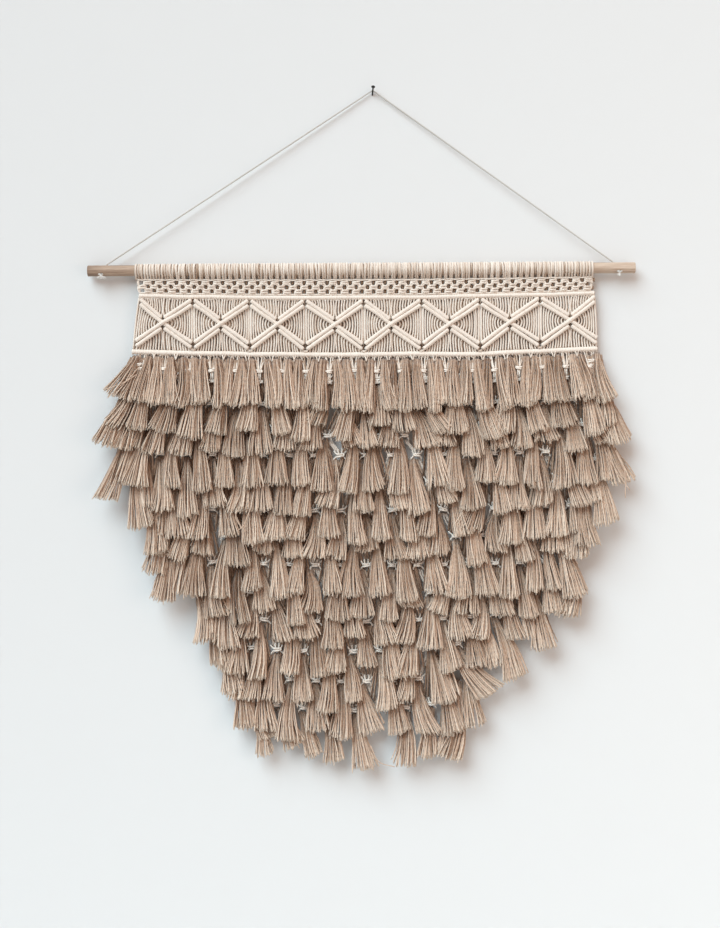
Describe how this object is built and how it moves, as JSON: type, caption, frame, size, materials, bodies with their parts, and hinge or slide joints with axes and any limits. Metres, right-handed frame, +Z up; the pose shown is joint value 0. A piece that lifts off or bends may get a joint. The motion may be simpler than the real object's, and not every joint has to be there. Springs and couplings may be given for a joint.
{
  "type": "macrame wall hanging on a wooden dowel",
  "caption": "Knotted cotton wall hanging on a round wooden dowel, with a diamond band and overlapping rows of cut tassels tapering to the foot, hung by a thin cord from a nail.",
  "frame": {"origin": "where the nail's axis meets the wall, on the nail's flat back", "axes": "+Z up, +Y into the wall that the hanging is fixed to, +X to the right seen from the front, which faces -Y"},
  "size_m": [1, 0.0555, 1.2422],
  "materials": {
    "nail": "black, satin",
    "hanging_cord": "grey-cream twisted cotton cord, matt",
    "dowel_wood": "bare light brown wood with long grain, matt",
    "cream_cotton": "cream cotton cord, knotted, matt",
    "taupe_cotton": "taupe cut cotton strands, matt"
  },
  "bodies": {
    "root": {"nail": "nail", "hanging_cord": "hanging_cord", "knot_left": "hanging_cord", "knot_right": "hanging_cord", "dowel": "dowel_wood", "heading": "cream_cotton", "knot_band": "cream_cotton", "upper_bar": "cream_cotton", "diamond_band": "cream_cotton", "diagonal_ridges": "cream_cotton", "lower_bar": "cream_cotton", "ground_net": "cream_cotton", "tassel_row_01": "taupe_cotton", "tassel_row_02": "taupe_cotton", "tassel_row_03": "taupe_cotton", "tassel_row_04": "taupe_cotton", "tassel_row_05": "taupe_cotton", "tassel_row_06": "taupe_cotton", "tassel_row_07": "taupe_cotton", "tassel_row_08": "taupe_cotton", "tassel_row_09": "taupe_cotton", "tassel_row_10": "taupe_cotton", "tassel_row_11": "taupe_cotton", "tassel_row_12": "taupe_cotton", "tassel_row_13": "taupe_cotton", "tassel_row_14": "taupe_cotton"}
  },
  "joints": []
}
